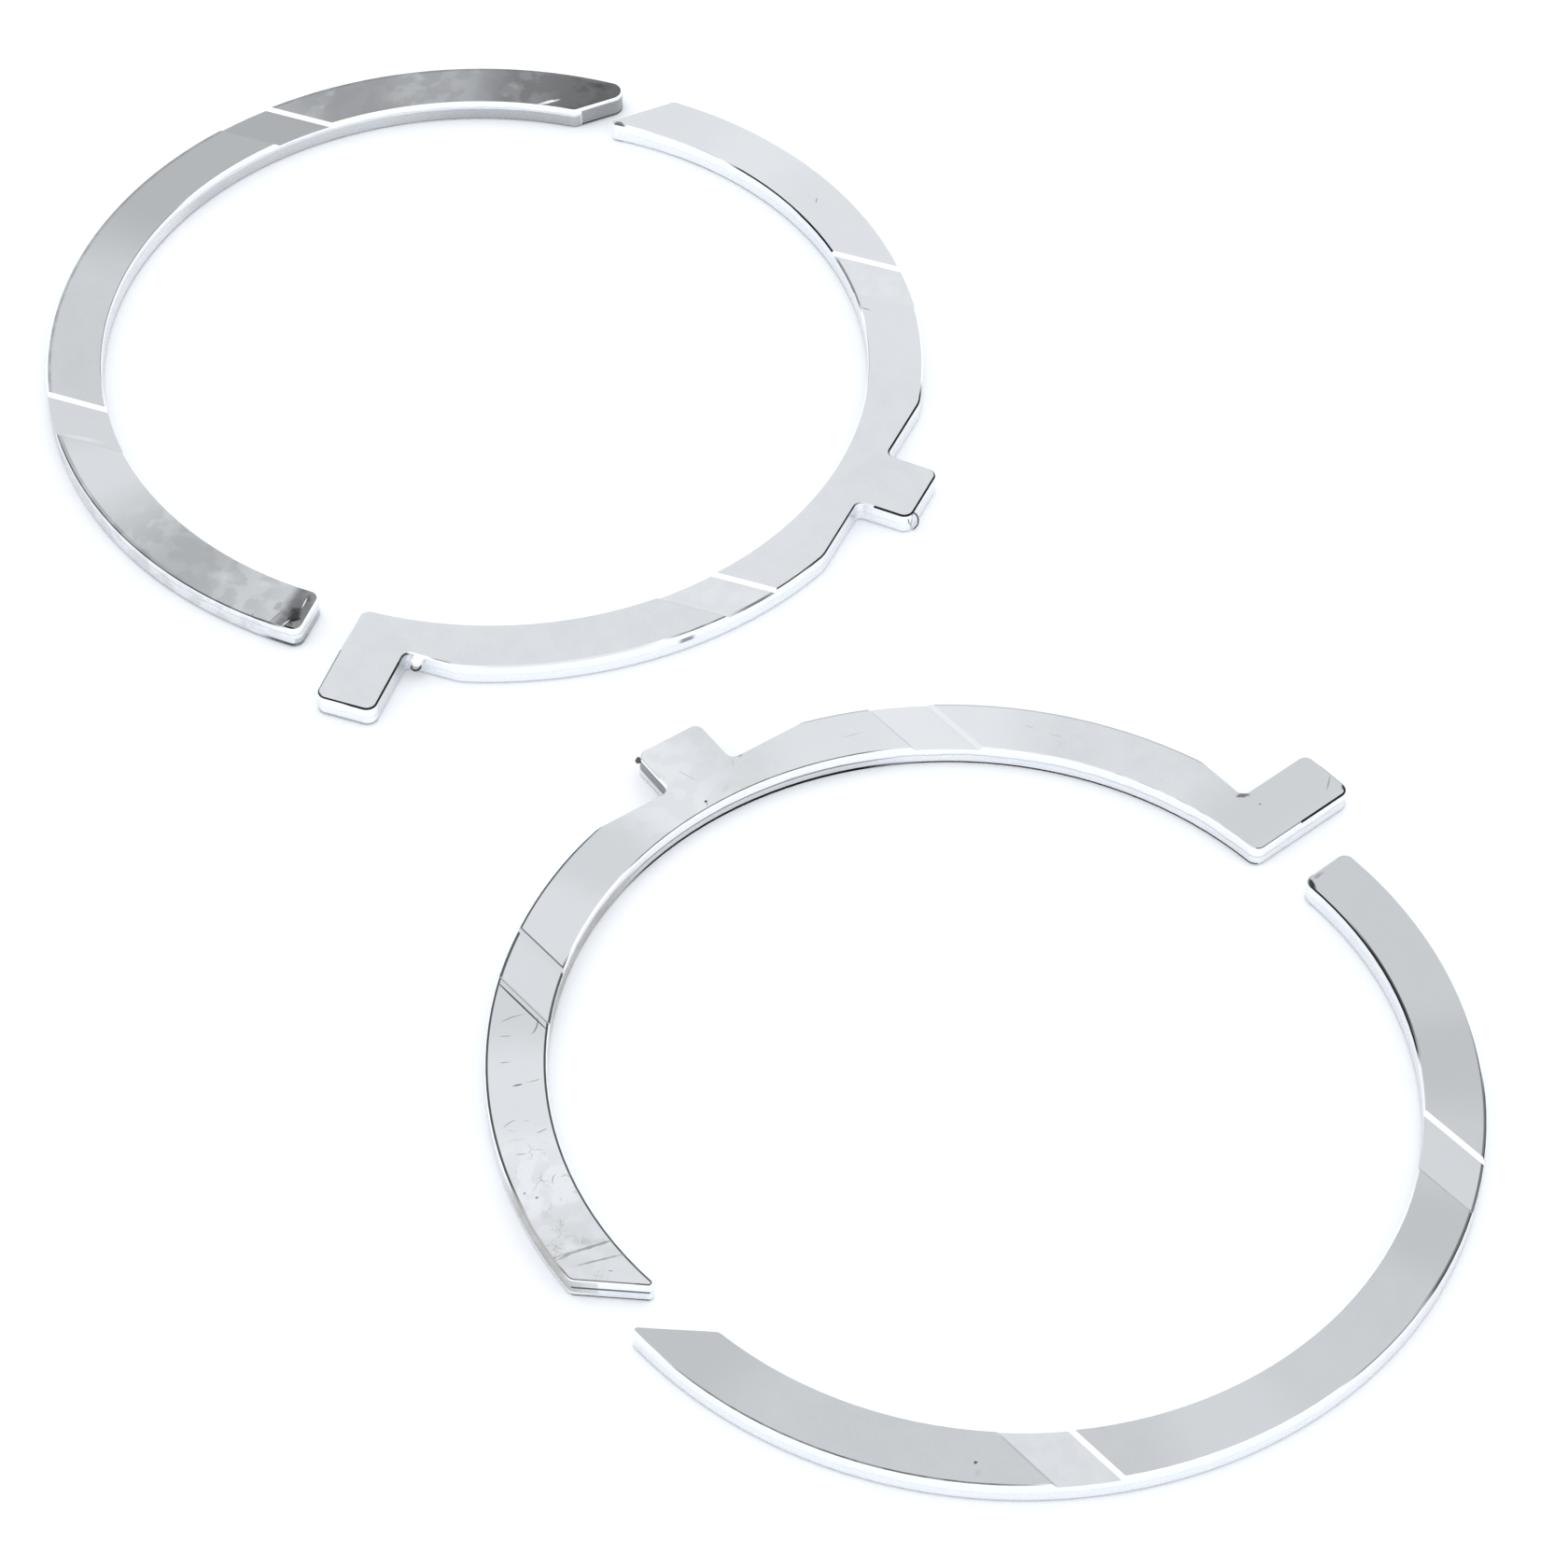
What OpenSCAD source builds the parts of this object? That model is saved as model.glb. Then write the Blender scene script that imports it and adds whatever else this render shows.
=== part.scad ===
// Pair of split thrust washers, laid out flat with the grooved face up.
// Each washer is a flat ring in two halves: a plain half, and a half with a tab near its middle
// and a tab at one end. The halves meet on a straight cut at one side and on a slanted cut at the other.
// Each half is drawn about its own ring centre: the straight cut lies on +X, the tabbed half on +Y.

/* [Ring] */
// Inside diameter of the assembled washer
inner_d = 113; // [90:0.5:160]
// Width of the band between the inside and the outside circle
band_w = 8.5; // [7:0.1:14]
// Thickness from back to grooved face
thickness = 3.6; // [2.5:0.1:5]

/* [Cuts between the halves] */
// Gap left between the two halves at each cut when they are put together
cut_gap = 0.4; // [0.1:0.1:1]
// Slant of the cut on the far side, measured from the radial direction
slant_angle = 45; // [20:1:55]

/* [Middle tab] */
// Direction of the tab, measured from the straight cut
mid_tab_angle = 85; // [70:1:110]
// Width of the tab
mid_tab_w = 11; // [6:0.5:16]
// Reach of the tab beyond the outside circle
mid_tab_reach = 6; // [4:0.5:10]

/* [End tab] */
// Width of the tab at the straight cut
end_tab_w = 9.2; // [6:0.2:12]
// Reach of the tab beyond the outside circle
end_tab_reach = 10; // [5:0.5:14]

/* [Flats beside the tabs] */
// Depth of the flats below the outside circle
flat_depth = 2.5; // [1:0.1:3.5]
// Radius that blends each flat into the outside circle
flat_blend_r = 9; // [3:0.5:10]
// Radius in the root of each tab
root_r = 1.1; // [0.5:0.1:2]

/* [Corners] */
// Radius on the tab corners
tab_corner_r = 1.6; // [0.8:0.1:2.2]
// Radius on the blunt corners at the cuts
end_corner_r = 1.6; // [0.8:0.2:2]
// Radius on the sharp tip at the slanted cut
tip_r = 0.6; // [0.5:0.1:1.5]
// Radius on the tip of the first washer's plain half, which is worn down
worn_tip_r = 2.2; // [0.5:0.1:3]
// Bevel that breaks every edge of both faces
edge_break = 0.25; // [0.1:0.05:0.4]

/* [Oil grooves] */
// Distance of each groove from the middle of the half
groove_offset = 36; // [20:0.5:44]
// Width of a groove at the face
groove_w = 8; // [4:0.2:12]
// Depth of a groove
groove_depth = 0.55; // [0.3:0.05:1.2]
// Slope of the groove sides from the vertical
groove_side_angle = 45; // [15:1:60]

/* [Layout] */
// Direction in which the second washer lies from the first
pair_direction = -61; // [-75:1:-50]
// Gap between the outside circles of the two washers
pair_gap = 35.6; // [32:0.1:80]
// Turn of the first washer's plain half
first_plain_turn = -109.8; // [-130:0.1:-90]
// Turn of the first washer's tabbed half
first_tabbed_turn = -109.1; // [-130:0.1:-90]
// Turn of the second washer's tabbed half
second_tabbed_turn = 40.5; // [20:0.1:60]
// Turn of the second washer's plain half
second_plain_turn = 41.7; // [20:0.1:60]
// How far the first washer's tabbed half is drawn away across its cuts
first_spread = 5.8; // [2:0.1:12]
// How far the first washer's tabbed half is slid along its cuts
first_slide = 0.7; // [-2:0.1:2]
// How far the second washer's tabbed half is drawn away across its cuts
second_spread = 8.8; // [2:0.1:12]
// How far the second washer's tabbed half is slid along its cuts
second_slide = -1.2; // [-2:0.1:2]

/* [Hidden] */
$fn = 96;

inner_r = inner_d / 2;
outer_r = inner_r + band_w;
flat_r = outer_r - flat_depth;
mid_tab_r = outer_r + mid_tab_reach;
end_tab_r = outer_r + end_tab_reach;
cut_back = cut_gap / 2;
end_tab_top = cut_back + end_tab_w;
// Cutters run this far past what they cut
over = 1;
// Angle at which a round crosses the edges that it joins, small enough to look as if it just touched them
lap_angle = 5;
// Edge cutters run on to this many times the distance at which they cross a round
run_past = 1.25;
// Edge cutters reach this far out of the part
bevel_over = 0.08;

// Names for what joins one round of an outline to the next
LINE = 0;
OUTER_ARC = 1;
INNER_ARC = 2;

function polar(angle, r) = [r * cos(angle), r * sin(angle)];

// How far a point lies from the ring centre in the direction of an angle
function along(p, angle) = p * polar(angle, 1);
function angle_of(p) = atan2(p[1], p[0]);

// Angle from a to b, anticlockwise
function turn(a, b) = (b - a + 720) % 360;

// An outline is a list of rounds in anticlockwise order, with the part on the left. A round is
// [centre, radius, angle it starts at, angle it ends at, what follows it]. It turns outwards
// where the second angle is the larger one, and is the root of a notch where it is the smaller one.
function outward(centre, r, from, to, next) = [centre, r, from, from + turn(from, to), next];
function inward(centre, r, from, to, next) = [centre, r, from, from - turn(to, from), next];
function round_start(k) = k[0] + polar(k[2], k[1]);
function round_end(k) = k[0] + polar(k[3], k[1]);

// Radius at which a round is drawn, so that it crosses the edges that it would just touch at its own
function lapped_r(k) = k[1] / cos(lap_angle);

// How far the edge cutter on a neighbour runs on into a round that turns outwards
function run_on(k) = k[3] > k[2] ? run_past * k[1] * tan(lap_angle) : 0;

// Angle that a length takes up on a circle
function arc_angle(length, r) = length / r * 180 / PI;

// Centre of a round of radius r that touches a straight edge and a ring circle. The edge lies at
// distance d from the ring centre, facing outwards at angle a. The round touches the circle at
// reach, which is the distance of the centre from the ring centre, before (-1) or after (1) the
// point of the edge that is nearest to the ring centre.
function round_centre(a, d, r, reach, side) =
  polar(a, d - r) + side * polar(a + 90, sqrt(reach * reach - (d - r) * (d - r)));

// Centre of a round in the corner of a tab that points out at angle a, at u along it and v across it
function tab_point(a, u, v) = polar(a, u) + polar(a + 90, v);

// Distance from the ring centre to the slanted cut, which crosses the middle of the band on the
// diameter that the straight cut lies on
slant_distance = (outer_r + inner_r) / 2 * cos(slant_angle);

// Ring centre of the second washer's plain half. The first washer's is opposite, so the two plain
// halves bound the layout evenly about the origin.
second_centre = polar(pair_direction, outer_r + pair_gap / 2);

// Rounds of a plain half with a tip of radius tip, from the outside circle over the straight cut
// and round to the slanted cut
function plain_outline(tip) =
  let (
    r = end_corner_r,
    straight = -cut_back,
    slanted = -slant_distance - cut_back,
    slant_a = 90 - slant_angle,
    c1 = round_centre(90, straight, r, outer_r - r, -1),
    c2 = round_centre(90, straight, r, inner_r + r, -1),
    c3 = round_centre(slant_a, slanted, r, inner_r + r, 1),
    c4 = round_centre(slant_a, slanted, tip, outer_r - tip, 1)
  )
  [
    outward(c1, r, angle_of(c1), 90, LINE),
    outward(c2, r, 90, angle_of(c2) + 180, INNER_ARC),
    outward(c3, r, angle_of(c3) + 180, slant_a, LINE),
    outward(c4, tip, slant_a, angle_of(c4), OUTER_ARC)
  ];

// Rounds of the tabbed half, from the inside circle over the straight cut, the end tab and the
// middle tab to the slanted cut
function tabbed_outline() =
  let (
    r = end_corner_r,
    t = tab_corner_r,
    a = mid_tab_angle,
    w = mid_tab_w / 2,
    slant_a = 270 - slant_angle,
    slanted = slant_distance - cut_back,
    c1 = round_centre(270, -cut_back, r, inner_r + r, 1),
    c4 = round_centre(0, flat_r, flat_blend_r, outer_r - flat_blend_r, 1),
    c5 = round_centre(a, flat_r, flat_blend_r, outer_r - flat_blend_r, -1),
    c8 = round_centre(a, flat_r, flat_blend_r, outer_r - flat_blend_r, 1),
    c9 = round_centre(slant_a, slanted, r, outer_r - r, -1),
    c10 = round_centre(slant_a, slanted, tip_r, inner_r + tip_r, -1)
  )
  [
    outward(c1, r, angle_of(c1) + 180, 270, LINE),
    outward([end_tab_r - t, cut_back + t], t, 270, 0, LINE),
    outward([end_tab_r - t, end_tab_top - t], t, 0, 90, LINE),
    inward([flat_r + root_r, end_tab_top + root_r], root_r, 270, 180, LINE),
    outward(c4, flat_blend_r, 0, angle_of(c4), OUTER_ARC),
    outward(c5, flat_blend_r, angle_of(c5), a, LINE),
    inward(tab_point(a, flat_r + root_r, -w - root_r), root_r, a + 180, a + 90, LINE),
    outward(tab_point(a, mid_tab_r - t, -w + t), t, a - 90, a, LINE),
    outward(tab_point(a, mid_tab_r - t, w - t), t, a, a + 90, LINE),
    inward(tab_point(a, flat_r + root_r, w + root_r), root_r, a + 270, a + 180, LINE),
    outward(c8, flat_blend_r, a, angle_of(c8), OUTER_ARC),
    outward(c9, r, angle_of(c9), slant_a, LINE),
    outward(c10, tip_r, slant_a, angle_of(c10) + 180, INNER_ARC)
  ];

// Wedge between the two directions in which a round meets its neighbours
module round_wedge(k, reach) {
  from = min(k[2], k[3]);
  to = max(k[2], k[3]);
  translate(k[0])
    polygon([
      [0, 0],
      polar(from, reach),
      polar((from + to) / 2, reach / cos((to - from) / 2)),
      polar(to, reach)
    ]);
}

module round_disc(k) {
  translate(k[0])
    circle(r = lapped_r(k));
}

// Everything on the outer side of a straight line at distance d from the ring centre, facing angle a
module beyond(a, d) {
  rotate(a)
    translate([d, -2 * outer_r])
      square([2 * outer_r, 4 * outer_r]);
}

// What lies past the straight cut, for the half on the side of +Y (1) or -Y (-1)
module past_straight_cut(side) {
  translate([-inner_r / 2, side > 0 ? cut_back - 2 * outer_r : -cut_back])
    square([2 * outer_r, 2 * outer_r]);
}

// What lies past the slanted cut, which faces angle a at distance d from the ring centre
module past_slanted_cut(a, d) {
  intersection() {
    beyond(a, d);
    translate([-2 * outer_r, -outer_r])
      square([2 * outer_r - inner_r / 2, 2 * outer_r]);
  }
}

// Cuts away the sharp corner outside each round of an outline that turns outwards
module rounds_off(outline) {
  for (k = outline)
    if (k[3] > k[2])
      difference() {
        round_wedge(k, k[1] + over);
        round_disc(k);
      }
}

// Fills the root of each notch of an outline
module roots_filled(outline) {
  for (k = outline)
    if (k[3] < k[2])
      round_wedge(k, k[1] + over / 2);
}

// Rounds the root of each notch of an outline
module roots_rounded(outline) {
  for (k = outline)
    if (k[3] < k[2])
      round_disc(k);
}

module plain_shape(outline) {
  difference() {
    circle(r = outer_r);
    circle(r = inner_r);
    past_straight_cut(-1);
    past_slanted_cut(90 - slant_angle, -slant_distance - cut_back);
    rounds_off(outline);
  }
}

module tabbed_shape(outline) {
  difference() {
    union() {
      difference() {
        circle(r = outer_r);
        beyond(0, flat_r);
        beyond(mid_tab_angle, flat_r);
      }
      translate([flat_r - over, cut_back])
        square([end_tab_r - flat_r + over, end_tab_w]);
      rotate(mid_tab_angle)
        translate([flat_r - over, -mid_tab_w / 2])
          square([mid_tab_r - flat_r + over, mid_tab_w]);
      roots_filled(outline);
    }
    circle(r = inner_r);
    past_straight_cut(1);
    past_slanted_cut(270 - slant_angle, slant_distance - cut_back);
    rounds_off(outline);
    roots_rounded(outline);
  }
}

// Section of the cutter that breaks an edge. The edge is at the origin, the part on the side of
// negative X and negative Y.
module bevel_section() {
  polygon([
    [-edge_break - bevel_over, bevel_over],
    [bevel_over, -edge_break - bevel_over],
    [bevel_over, bevel_over]
  ]);
}

// Edge cutter along the straight edge that faces angle a at distance d from the ring centre. It runs
// from one distance to another along the edge, counted from the point nearest to the ring centre.
module straight_bevel(a, d, from, to) {
  rotate(a)
    translate([d, to, 0])
      rotate([90, 0, 0])
        linear_extrude(to - from)
          bevel_section();
}

// Edge cutter along an arc from angle a over a sweep, with the part inside the arc (facing 1) or
// outside it (-1). It runs on past both ends by the two angles given.
module arc_bevel(centre, r, a, sweep, facing, before, after) {
  translate(centre)
    rotate(a - before)
      rotate_extrude(angle = before + sweep + after)
        translate([r, 0])
          mirror([facing < 0 ? 1 : 0, 0])
            bevel_section();
}

// Edge cutters along the straight edges of an outline
module straight_bevels(outline) {
  count = len(outline);
  for (i = [0:count - 1]) {
    k = outline[i];
    next = outline[(i + 1) % count];
    facing = k[3] > k[2] ? k[3] : k[3] + 180;
    if (k[4] == LINE)
      straight_bevel(facing, along(round_end(k), facing),
        along(round_end(k), facing + 90) - run_on(k),
        along(round_start(next), facing + 90) + run_on(next));
  }
}

// Edge cutters along the ring circles of an outline
module ring_bevels(outline) {
  count = len(outline);
  for (i = [0:count - 1]) {
    k = outline[i];
    next = outline[(i + 1) % count];
    if (k[4] == OUTER_ARC)
      arc_bevel([0, 0], outer_r, k[3], turn(k[3], next[2]), 1,
        arc_angle(run_on(k), outer_r), arc_angle(run_on(next), outer_r));
    if (k[4] == INNER_ARC)
      arc_bevel([0, 0], inner_r, next[2] - 180, turn(next[2], k[3]), -1,
        arc_angle(run_on(next), inner_r), arc_angle(run_on(k), inner_r));
  }
}

// Edge cutters round the corners and in the roots of an outline
module round_bevels(outline) {
  for (k = outline)
    if (k[3] > k[2])
      arc_bevel(k[0], lapped_r(k), k[2], k[3] - k[2], 1, 0, 0);
    else
      arc_bevel(k[0], lapped_r(k), k[3], k[2] - k[3], -1, 2 * lap_angle, 2 * lap_angle);
}

// Puts an edge cutter to work on both faces
module both_faces() {
  translate([0, 0, thickness])
    children();
  mirror([0, 0, 1])
    children();
}

// Oil groove across the band on the side given by half, 1 for +Y and -1 for -Y
module groove(x, half) {
  slope = tan(groove_side_angle);
  floor_w = groove_w / 2 - groove_depth * slope;
  top_w = groove_w / 2 + over * slope;
  translate([x, half > 0 ? 0 : -outer_r - over, thickness])
    rotate([90, 0, 180])
      linear_extrude(outer_r + over)
        polygon([
          [-floor_w, -groove_depth],
          [floor_w, -groove_depth],
          [top_w, over],
          [-top_w, over]
        ]);
}

// A finished half: the shape at full thickness, with its edges broken and its oil grooves cut
module half(outline, side) {
  difference() {
    difference() {
      difference() {
        linear_extrude(thickness)
          children();
        both_faces()
          round_bevels(outline);
      }
      both_faces()
        straight_bevels(outline);
    }
    both_faces()
      ring_bevels(outline);
    groove(groove_offset, side);
    groove(-groove_offset, side);
  }
}

module plain_half(tip) {
  outline = plain_outline(tip);
  half(outline, -1)
    plain_shape(outline);
}

module tabbed_half() {
  outline = tabbed_outline();
  half(outline, 1)
    tabbed_shape(outline);
}

module first_washer_plain_half() {
  color([0.66, 0.68, 0.69])
    translate(-second_centre)
      rotate(first_plain_turn)
        plain_half(worn_tip_r);
}

module first_washer_tabbed_half() {
  color([0.8, 0.82, 0.84])
    translate(-second_centre)
      rotate(first_plain_turn)
        translate([first_slide, first_spread])
          rotate(first_tabbed_turn - first_plain_turn)
            tabbed_half();
}

module second_washer_tabbed_half() {
  color([0.84, 0.86, 0.88])
    translate(second_centre)
      rotate(second_plain_turn)
        translate([second_slide, second_spread])
          rotate(second_tabbed_turn - second_plain_turn)
            tabbed_half();
}

module second_washer_plain_half() {
  color([0.76, 0.78, 0.8])
    translate(second_centre)
      rotate(second_plain_turn)
        plain_half(tip_r);
}

first_washer_plain_half();
first_washer_tabbed_half();
second_washer_tabbed_half();
second_washer_plain_half();
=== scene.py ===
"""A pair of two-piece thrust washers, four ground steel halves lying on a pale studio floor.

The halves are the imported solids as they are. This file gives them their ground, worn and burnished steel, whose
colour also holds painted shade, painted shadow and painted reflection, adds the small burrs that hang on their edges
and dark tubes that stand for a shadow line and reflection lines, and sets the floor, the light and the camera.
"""

import logging
import math
from dataclasses import dataclass
from enum import Enum
from functools import cached_property, partialmethod

import bpy
import numpy as np
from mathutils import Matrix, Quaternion, Vector


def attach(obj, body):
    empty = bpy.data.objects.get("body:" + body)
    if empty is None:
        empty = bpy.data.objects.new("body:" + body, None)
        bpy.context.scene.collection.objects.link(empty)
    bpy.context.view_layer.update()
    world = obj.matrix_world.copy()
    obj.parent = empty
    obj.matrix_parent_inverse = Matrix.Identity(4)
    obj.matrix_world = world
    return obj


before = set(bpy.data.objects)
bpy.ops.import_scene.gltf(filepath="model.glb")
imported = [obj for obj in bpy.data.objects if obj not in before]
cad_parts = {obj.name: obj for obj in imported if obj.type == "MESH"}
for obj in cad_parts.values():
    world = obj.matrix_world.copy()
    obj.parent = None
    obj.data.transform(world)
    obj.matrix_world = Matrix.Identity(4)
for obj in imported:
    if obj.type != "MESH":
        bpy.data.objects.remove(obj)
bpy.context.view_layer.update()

log = logging.getLogger("washers")

MM = 0.001
TO_MM = (1 / MM, 1 / MM, 1 / MM)
NOWHERE = (0.0, 0.0, 0.0)
BLACK = (0.0, 0.0, 0.0, 1.0)

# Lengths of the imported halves, in millimetres. A groove's middle lies at X, and its sides end at the reach from it.
THICKNESS = 3.6
GROOVE_DEPTH = 0.55
GROOVE_X = 36.0
GROOVE_REACH = 5.05

# Half the width over which a limit fades: in millimetres, and as a share of the thickness.
RADIUS_FADE = 0.07
LEVEL_FADE = 0.012

# Size of the dots that grinding leaves, in millimetres, and how far dots and pits roughen and dent the steel.
GRAIN_SIZE = 0.34
GRAIN_ROUGH, PIT_ROUGH = 0.05, 0.25
GRAIN_HEIGHT, PIT_DEPTH = 0.005, 0.03
TOP_ROUGH, WALL_ROUGH = 0.36, 0.26

# Half the angle over which the cracks fade at their ends, in degrees.
VEINS_EASE = 3.0

Tree = bpy.types.NodeTree
Node = bpy.types.Node
Material = bpy.types.Material
Socket = bpy.types.NodeSocket
Value = float | tuple[float, ...] | Socket
Pair = tuple[float, float]
Triple = tuple[float, float, float]
Colour = tuple[float, float, float, float]


class Region(Enum):
    """The kinds of surface on a half, by the name of their mask."""

    FACE = "Face"
    GROOVE = "Groove"
    RAMP = "Ramp"
    EDGE = "Edge"
    WALL = "Wall"


# ---- shader desks


class Desk:
    """Lays shader nodes into one tree and wires them by the values they give."""

    COLUMNS = 12
    STEP = (190, -240)

    def __init__(self, tree: Tree) -> None:
        """Keeps the tree that the nodes go into."""
        self.tree = tree
        self.count = 0

    def node(self, kind: str, **settings: object) -> Node:
        """Adds one node.

        Args:
            kind: The end of the node's type name.
            settings: Names of its plain properties and their values.

        Returns:
            The new node.
        """
        made = self.tree.nodes.new(f"ShaderNode{kind}")
        for name, value in settings.items():
            setattr(made, name, value)
        row, column = divmod(self.count, self.COLUMNS)
        made.location = (column * self.STEP[0], row * self.STEP[1])
        self.count += 1
        return made

    def feed(self, inputs: dict[Socket, Value]) -> None:
        """Joins each input to an output socket, or sets its plain value.

        Args:
            inputs: The inputs and what each is given.
        """
        for socket, value in inputs.items():
            if isinstance(value, Socket):
                self.tree.links.new(value, socket)
            else:
                socket.default_value = value

    def lay(self, made: Node, **inputs: Value) -> Node:
        """Feeds a node's inputs by name, with an underscore for a space, and hands the node back."""
        self.feed({made.inputs[name.replace("_", " ")]: value for name, value in inputs.items()})
        return made

    def use(self, group: Tree, **inputs: Value) -> dict[str, Socket]:
        """Places a shared node group, feeds its named inputs and gives its outputs by name."""
        return dict(self.lay(self.node("Group", node_tree=group), **inputs).outputs.items())

    def fed(self, made: Node, *values: Value) -> Socket:
        """Feeds a node's first inputs and gives its first output."""
        self.feed(dict(zip(made.inputs, values)))
        return made.outputs[0]

    def math(self, operation: str, a: Value, b: Value = 0.0, clamp: bool = False) -> Socket:
        """One sum on numbers by the Math node's name for it, kept from 0 to 1 if clamped."""
        return self.fed(self.node("Math", operation=operation, use_clamp=clamp), a, b)

    # The sum, the difference and the quotient of two values, and one value without its sign.
    plus = partialmethod(math, "ADD")
    minus = partialmethod(math, "SUBTRACT")
    over = partialmethod(math, "DIVIDE")
    size = partialmethod(math, "ABSOLUTE")

    def times(self, first: Value, *others: Value) -> Value:
        """The product of all the values."""
        for other in others:
            first = self.math("MULTIPLY", first, other)
        return first

    def split(self, vector: Socket) -> tuple[Socket, Socket, Socket]:
        """The three parts of a vector."""
        made = self.node("SeparateXYZ")
        return self.fed(made, vector), made.outputs[1], made.outputs[2]

    def join(self, x: Value, y: Value, z: Value = 0.0) -> Socket:
        """A vector of three parts."""
        return self.fed(self.node("CombineXYZ"), x, y, z)

    def placed(self, vector: Value, move: Value = NOWHERE, turn: Value = NOWHERE,
               size: Value = (1.0, 1.0, 1.0)) -> Socket:
        """A vector scaled, turned by angles in radians and moved, in that order."""
        return self.fed(self.node("Mapping", vector_type="POINT"), vector, move, turn, size)

    def band(self, value: Value, low: Value, high: Value, start: Value = 0.0, end: Value = 1.0,
             smooth: bool = True) -> Socket:
        """A number that goes from start to end while the value goes from low to high, eased if smooth."""
        made = self.node("MapRange", interpolation_type="SMOOTHSTEP" if smooth else "LINEAR")
        return self.fed(made, value, low, high, start, end)

    def within(self, value: Socket, low: Value, high: Value, fade: Value) -> Socket:
        """Where a value lies between two limits, eased over the fade on both sides of each."""
        return self.times(self.band(value, self.minus(low, fade), self.plus(low, fade)),
                          self.band(value, self.plus(high, fade), self.minus(high, fade)))

    def noise(self, vector: Socket, scale: Value, detail: float = 2.0, rough: float = 0.5,
              bend: float = 0.0) -> Socket:
        """A cloud of random values, by its cycles in a millimetre, finer layers, their weight and warp."""
        made = self.node("TexNoise", noise_dimensions="3D")
        return self.lay(made, Vector=vector, Scale=scale, Detail=detail, Roughness=rough,
                        Distortion=bend).outputs["Fac"]

    def mixed(self, made: Node, kind: int, share: Value, a: Value, b: Value) -> Socket:
        """Feeds a Mix node's share and its two inputs of a kind, 0 for numbers and 2 for colours."""
        self.feed({made.inputs[0]: share, made.inputs[2 * kind + 2]: a, made.inputs[2 * kind + 3]: b})
        return made.outputs[kind]

    def blend(self, share: Value, a: Value, b: Value) -> Socket:
        """A number that goes from a to b as the share goes from 0 to 1."""
        return self.mixed(self.node("Mix", data_type="FLOAT", clamp_factor=True), 0, share, a, b)

    def tint(self, share: Value, a: Value, b: Value, way: str = "MIX") -> Socket:
        """One colour laid over another by a share from 0 to 1, in one of the Mix node's ways."""
        made = self.node("Mix", data_type="RGBA", blend_type=way, clamp_factor=True)
        return self.mixed(made, 2, share, a, b)

    def grey(self, ground: Socket, number: Socket) -> Socket:
        """A colour multiplied by one number."""
        return self.tint(1.0, ground, self.join(number, number, number), "MULTIPLY")


class GroupDesk(Desk):
    """The desk of a shared node group, with named sockets at both ends."""

    def __init__(self, name: str, inputs: dict[str, Value], *outputs: str) -> None:
        """Starts the group.

        Args:
            name: The group's name.
            inputs: The inputs' names and resting values, each one number or three.
            outputs: The outputs' names, all plain numbers.
        """
        super().__init__(bpy.data.node_groups.new(name, "ShaderNodeTree"))
        for label, value in inputs.items():
            kind = "NodeSocketVector" if isinstance(value, tuple) else "NodeSocketFloat"
            self.tree.interface.new_socket(label, in_out="INPUT", socket_type=kind).default_value = value
        for label in outputs:
            self.tree.interface.new_socket(label, in_out="OUTPUT", socket_type="NodeSocketFloat")
        self.start, self.end = self.tree.nodes.new("NodeGroupInput"), self.tree.nodes.new("NodeGroupOutput")
        self.start.location, self.end.location = (-self.STEP[0], 0), (self.COLUMNS * self.STEP[0], 0)
        self.inputs = tuple(inputs)

    def taken(self) -> tuple[Socket, ...]:
        """The group's inputs, in their order."""
        return tuple(self.start.outputs[name] for name in self.inputs)

    def given(self, **results: Socket) -> Tree:
        """Feeds the outputs and hands the finished group over."""
        self.lay(self.end, **results)
        return self.tree


class SteelDesk(Desk):
    """The desk of one steel material."""

    def __init__(self, name: str) -> None:
        """Starts an empty material and reads where each point lies and looks.

        Args:
            name: The material's name.
        """
        self.made = bpy.data.materials.new(name)
        self.made.use_nodes = True
        self.made.node_tree.nodes.clear()
        super().__init__(self.made.node_tree)
        coordinates = self.node("TexCoord")
        self.point, self.normal = coordinates.outputs["Object"], coordinates.outputs["Normal"]

    def finished(self, colour: Socket, rough: Socket, height: Socket, strength: float) -> Material:
        """Ends the material in bare metal.

        Args:
            colour: The steel's colour.
            rough: Its roughness.
            height: How far it stands out, in millimetres.
            strength: How much the height bends the light.

        Returns:
            The material.
        """
        bump = self.lay(self.node("Bump"), Strength=strength, Distance=MM, Height=height)
        shader = self.lay(self.node("BsdfPrincipled"), Metallic=1.0, Base_Color=colour, Roughness=rough,
                          Normal=bump.outputs["Normal"])
        self.lay(self.node("OutputMaterial"), Surface=shader.outputs["BSDF"])
        return self.made


# ---- shared effects


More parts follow.
